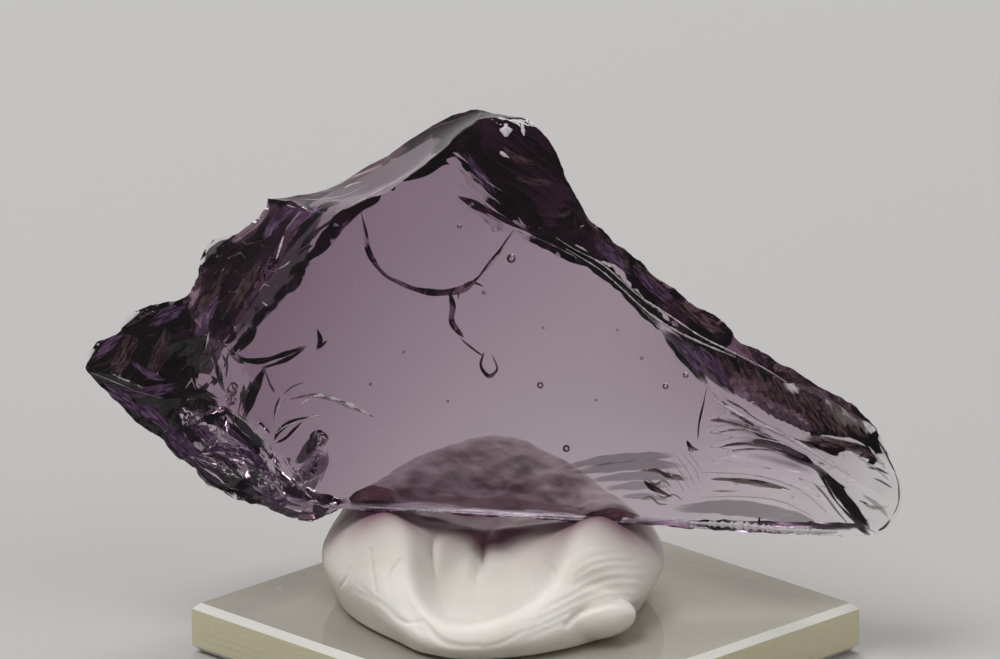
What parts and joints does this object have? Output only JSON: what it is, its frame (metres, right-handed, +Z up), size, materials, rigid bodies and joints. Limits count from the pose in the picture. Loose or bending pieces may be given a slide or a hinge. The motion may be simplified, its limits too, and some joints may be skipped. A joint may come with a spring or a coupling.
{
  "type": "violet glass shard on a putty and acrylic stand",
  "caption": "Broken piece of clear violet glass, sold as andara crystal, held upright by a lump of putty on a square acrylic base.",
  "frame": {"origin": "middle of the acrylic base's underside", "axes": "+X to the right as seen from the front and along the crystal's length, +Y away from the front, +Z up"},
  "size_m": [0.0877, 0.0718, 0.0555],
  "materials": {
    "violet_glass": "glossy conchoidal fracture faces, clear violet through thin places and near black at the thick rims",
    "putty": "matt off-white mounting putty, kneaded, with folds and fine wrinkles",
    "clear_acrylic": "polished clear acrylic with a slight yellow tint at its bevelled edges"
  },
  "bodies": {
    "root": {"andara_crystal": "violet_glass", "mounting_putty": "putty", "acrylic_base": "clear_acrylic"}
  },
  "joints": []
}
